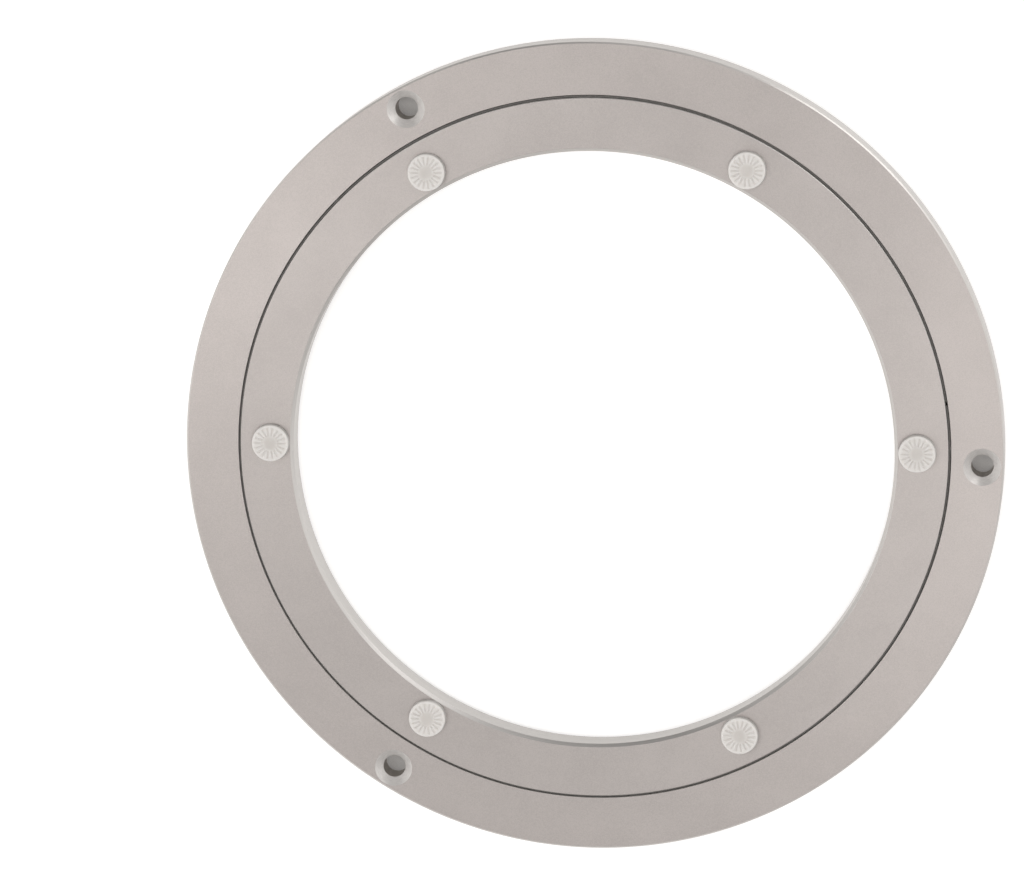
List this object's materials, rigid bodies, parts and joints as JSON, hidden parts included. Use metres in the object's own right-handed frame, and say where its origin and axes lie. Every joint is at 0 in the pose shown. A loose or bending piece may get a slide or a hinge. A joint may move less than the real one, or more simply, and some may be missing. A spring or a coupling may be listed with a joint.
{
  "type": "lazy susan bearing",
  "caption": "Flat turntable bearing: an aluminium inner ring with clear anti-slip pads turns on caged steel balls inside an outer ring with countersunk screw holes.",
  "frame": {"origin": "on the turning axis, in the outer ring's back face, on which the bearing lies", "axes": "+Z along the turning axis, towards the pads and the countersinks; +Y to the top of the picture and +X to its right"},
  "size_m": [0.2, 0.2, 0.0105],
  "materials": {
    "ring_aluminium": "bead-blasted satin",
    "plug_aluminium": "turned satin",
    "dowel_steel": "drawn",
    "ball_steel": "polished",
    "cage_nylon": "matt grey nylon, greased",
    "clear_pad": "clear, milky"
  },
  "bodies": {
    "base": {"outer_ring": "ring_aluminium"},
    "turntable": {"inner_ring": "ring_aluminium", "filler_plug": "plug_aluminium", "plug_dowel": "dowel_steel", "pad_1": "clear_pad", "pad_2": "clear_pad", "pad_3": "clear_pad", "pad_4": "clear_pad", "pad_5": "clear_pad", "pad_6": "clear_pad"},
    "cage": {"ball_cage": "cage_nylon"},
    "ball_01": {"ball_01": "ball_steel"},
    "ball_02": {"ball_02": "ball_steel"},
    "ball_03": {"ball_03": "ball_steel"},
    "ball_04": {"ball_04": "ball_steel"},
    "ball_05": {"ball_05": "ball_steel"},
    "ball_06": {"ball_06": "ball_steel"},
    "ball_07": {"ball_07": "ball_steel"},
    "ball_08": {"ball_08": "ball_steel"},
    "ball_09": {"ball_09": "ball_steel"},
    "ball_10": {"ball_10": "ball_steel"},
    "ball_11": {"ball_11": "ball_steel"},
    "ball_12": {"ball_12": "ball_steel"},
    "ball_13": {"ball_13": "ball_steel"},
    "ball_14": {"ball_14": "ball_steel"},
    "ball_15": {"ball_15": "ball_steel"},
    "ball_16": {"ball_16": "ball_steel"},
    "ball_17": {"ball_17": "ball_steel"},
    "ball_18": {"ball_18": "ball_steel"},
    "ball_19": {"ball_19": "ball_steel"},
    "ball_20": {"ball_20": "ball_steel"},
    "ball_21": {"ball_21": "ball_steel"},
    "ball_22": {"ball_22": "ball_steel"},
    "ball_23": {"ball_23": "ball_steel"},
    "ball_24": {"ball_24": "ball_steel"}
  },
  "joints": [
    {"name": "inner_ring_spin", "type": "hinge", "parent": "base", "child": "turntable", "pos_m": [0, 0, 0.00425], "axis": [0, 0, 1], "continuous": true},
    {"name": "cage_spin", "type": "hinge", "parent": "base", "child": "cage", "pos_m": [0, 0, 0.00425], "axis": [0, 0, 1], "continuous": true},
    {"name": "ball_01_spin", "type": "hinge", "parent": "cage", "child": "ball_01", "pos_m": [0.0868, 0, 0.00425], "axis": [0, 0, 1], "continuous": true},
    {"name": "ball_02_spin", "type": "hinge", "parent": "cage", "child": "ball_02", "pos_m": [0.08384, 0.02247, 0.00425], "axis": [0, 0, 1], "continuous": true},
    {"name": "ball_03_spin", "type": "hinge", "parent": "cage", "child": "ball_03", "pos_m": [0.07517, 0.0434, 0.00425], "axis": [0, 0, 1], "continuous": true},
    {"name": "ball_04_spin", "type": "hinge", "parent": "cage", "child": "ball_04", "pos_m": [0.06138, 0.06138, 0.00425], "axis": [0, 0, 1], "continuous": true},
    {"name": "ball_05_spin", "type": "hinge", "parent": "cage", "child": "ball_05", "pos_m": [0.0434, 0.07517, 0.00425], "axis": [0, 0, 1], "continuous": true},
    {"name": "ball_06_spin", "type": "hinge", "parent": "cage", "child": "ball_06", "pos_m": [0.02247, 0.08384, 0.00425], "axis": [0, 0, 1], "continuous": true},
    {"name": "ball_07_spin", "type": "hinge", "parent": "cage", "child": "ball_07", "pos_m": [0, 0.0868, 0.00425], "axis": [0, 0, 1], "continuous": true},
    {"name": "ball_08_spin", "type": "hinge", "parent": "cage", "child": "ball_08", "pos_m": [-0.02247, 0.08384, 0.00425], "axis": [0, 0, 1], "continuous": true},
    {"name": "ball_09_spin", "type": "hinge", "parent": "cage", "child": "ball_09", "pos_m": [-0.0434, 0.07517, 0.00425], "axis": [0, 0, 1], "continuous": true},
    {"name": "ball_10_spin", "type": "hinge", "parent": "cage", "child": "ball_10", "pos_m": [-0.06138, 0.06138, 0.00425], "axis": [0, 0, 1], "continuous": true},
    {"name": "ball_11_spin", "type": "hinge", "parent": "cage", "child": "ball_11", "pos_m": [-0.07517, 0.0434, 0.00425], "axis": [0, 0, 1], "continuous": true},
    {"name": "ball_12_spin", "type": "hinge", "parent": "cage", "child": "ball_12", "pos_m": [-0.08384, 0.02247, 0.00425], "axis": [0, 0, 1], "continuous": true},
    {"name": "ball_13_spin", "type": "hinge", "parent": "cage", "child": "ball_13", "pos_m": [-0.0868, 0, 0.00425], "axis": [0, 0, 1], "continuous": true},
    {"name": "ball_14_spin", "type": "hinge", "parent": "cage", "child": "ball_14", "pos_m": [-0.08384, -0.02247, 0.00425], "axis": [0, 0, 1], "continuous": true},
    {"name": "ball_15_spin", "type": "hinge", "parent": "cage", "child": "ball_15", "pos_m": [-0.07517, -0.0434, 0.00425], "axis": [0, 0, 1], "continuous": true},
    {"name": "ball_16_spin", "type": "hinge", "parent": "cage", "child": "ball_16", "pos_m": [-0.06138, -0.06138, 0.00425], "axis": [0, 0, 1], "continuous": true},
    {"name": "ball_17_spin", "type": "hinge", "parent": "cage", "child": "ball_17", "pos_m": [-0.0434, -0.07517, 0.00425], "axis": [0, 0, 1], "continuous": true},
    {"name": "ball_18_spin", "type": "hinge", "parent": "cage", "child": "ball_18", "pos_m": [-0.02247, -0.08384, 0.00425], "axis": [0, 0, 1], "continuous": true},
    {"name": "ball_19_spin", "type": "hinge", "parent": "cage", "child": "ball_19", "pos_m": [0, -0.0868, 0.00425], "axis": [0, 0, 1], "continuous": true},
    {"name": "ball_20_spin", "type": "hinge", "parent": "cage", "child": "ball_20", "pos_m": [0.02247, -0.08384, 0.00425], "axis": [0, 0, 1], "continuous": true},
    {"name": "ball_21_spin", "type": "hinge", "parent": "cage", "child": "ball_21", "pos_m": [0.0434, -0.07517, 0.00425], "axis": [0, 0, 1], "continuous": true},
    {"name": "ball_22_spin", "type": "hinge", "parent": "cage", "child": "ball_22", "pos_m": [0.06138, -0.06138, 0.00425], "axis": [0, 0, 1], "continuous": true},
    {"name": "ball_23_spin", "type": "hinge", "parent": "cage", "child": "ball_23", "pos_m": [0.07517, -0.0434, 0.00425], "axis": [0, 0, 1], "continuous": true},
    {"name": "ball_24_spin", "type": "hinge", "parent": "cage", "child": "ball_24", "pos_m": [0.08384, -0.02247, 0.00425], "axis": [0, 0, 1], "continuous": true}
  ],
  "couplings": [
    {"joint": "cage_spin", "follows": "inner_ring_spin", "ratio": 0.48632},
    {"joint": "ball_01_spin", "follows": "inner_ring_spin", "ratio": -18.26},
    {"joint": "ball_02_spin", "follows": "inner_ring_spin", "ratio": -18.26},
    {"joint": "ball_03_spin", "follows": "inner_ring_spin", "ratio": -18.26},
    {"joint": "ball_04_spin", "follows": "inner_ring_spin", "ratio": -18.26},
    {"joint": "ball_05_spin", "follows": "inner_ring_spin", "ratio": -18.26},
    {"joint": "ball_06_spin", "follows": "inner_ring_spin", "ratio": -18.26},
    {"joint": "ball_07_spin", "follows": "inner_ring_spin", "ratio": -18.26},
    {"joint": "ball_08_spin", "follows": "inner_ring_spin", "ratio": -18.26},
    {"joint": "ball_09_spin", "follows": "inner_ring_spin", "ratio": -18.26},
    {"joint": "ball_10_spin", "follows": "inner_ring_spin", "ratio": -18.26},
    {"joint": "ball_11_spin", "follows": "inner_ring_spin", "ratio": -18.26},
    {"joint": "ball_12_spin", "follows": "inner_ring_spin", "ratio": -18.26},
    {"joint": "ball_13_spin", "follows": "inner_ring_spin", "ratio": -18.26},
    {"joint": "ball_14_spin", "follows": "inner_ring_spin", "ratio": -18.26},
    {"joint": "ball_15_spin", "follows": "inner_ring_spin", "ratio": -18.26},
    {"joint": "ball_16_spin", "follows": "inner_ring_spin", "ratio": -18.26},
    {"joint": "ball_17_spin", "follows": "inner_ring_spin", "ratio": -18.26},
    {"joint": "ball_18_spin", "follows": "inner_ring_spin", "ratio": -18.26},
    {"joint": "ball_19_spin", "follows": "inner_ring_spin", "ratio": -18.26},
    {"joint": "ball_20_spin", "follows": "inner_ring_spin", "ratio": -18.26},
    {"joint": "ball_21_spin", "follows": "inner_ring_spin", "ratio": -18.26},
    {"joint": "ball_22_spin", "follows": "inner_ring_spin", "ratio": -18.26},
    {"joint": "ball_23_spin", "follows": "inner_ring_spin", "ratio": -18.26},
    {"joint": "ball_24_spin", "follows": "inner_ring_spin", "ratio": -18.26}
  ]
}
